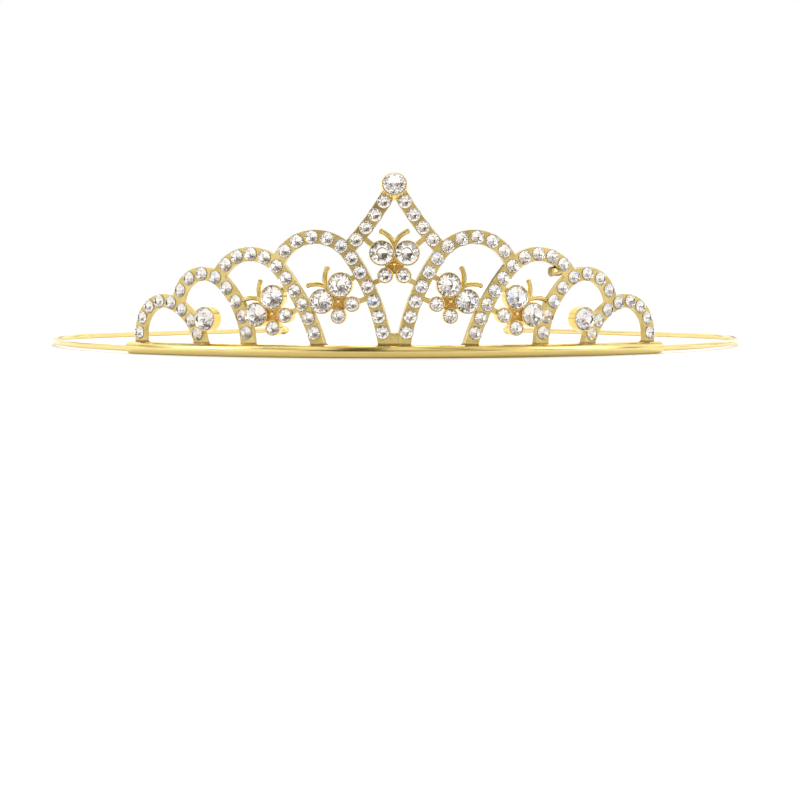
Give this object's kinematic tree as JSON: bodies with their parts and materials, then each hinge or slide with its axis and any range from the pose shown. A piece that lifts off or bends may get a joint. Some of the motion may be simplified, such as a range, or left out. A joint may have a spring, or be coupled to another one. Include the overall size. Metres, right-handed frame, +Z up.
{
  "type": "tiara headband",
  "caption": "Small gold tiara on a thin wire headband: cast arches and a peak set with round clear stones, butterfly clusters, and end balls.",
  "frame": {"origin": "middle of the bounding box in plan, on the surface that the tiara rests on: under the tube and the two end balls", "axes": "+X to the wearer's left along the widest part of the band, +Y from the crown at the front to the open ends at the back, +Z up towards the peak"},
  "size_m": [0.139, 0.1264, 0.031],
  "materials": {
    "gold_casting": "polished bright pale gold plate, deeper orange in the hollows",
    "gold_wire": "drawn wire, plated pale gold",
    "clear_stone": "faceted clear glass with a silver foil back"
  },
  "bodies": {
    "root": {"crown_frame": "gold_casting", "head_wire": "gold_wire", "tip_left": "gold_wire", "tip_right": "gold_wire", "peak_stone": "clear_stone", "side_stone_left": "clear_stone", "side_stone_right": "clear_stone", "stone_centre_upper_left": "clear_stone", "stone_centre_upper_right": "clear_stone", "stone_centre_lower_left": "clear_stone", "stone_centre_lower_right": "clear_stone", "stone_inner_left_upper_left": "clear_stone", "stone_inner_left_upper_right": "clear_stone", "stone_inner_left_lower_left": "clear_stone", "stone_inner_left_lower_right": "clear_stone", "stone_inner_right_upper_left": "clear_stone", "stone_inner_right_upper_right": "clear_stone", "stone_inner_right_lower_left": "clear_stone", "stone_inner_right_lower_right": "clear_stone", "stone_outer_left_upper_left": "clear_stone", "stone_outer_left_upper_right": "clear_stone", "stone_outer_left_lower_left": "clear_stone", "stone_outer_left_lower_right": "clear_stone", "stone_outer_right_upper_left": "clear_stone", "stone_outer_right_upper_right": "clear_stone", "stone_outer_right_lower_left": "clear_stone", "stone_outer_right_lower_right": "clear_stone", "row_arch_1_left": "clear_stone", "row_arch_1_right": "clear_stone", "row_arch_2_left": "clear_stone", "row_arch_2_right": "clear_stone", "row_arch_3_left": "clear_stone", "row_arch_3_right": "clear_stone", "row_arch_4_left": "clear_stone", "row_arch_4_right": "clear_stone", "row_peak_left": "clear_stone", "row_peak_right": "clear_stone"}
  },
  "joints": []
}
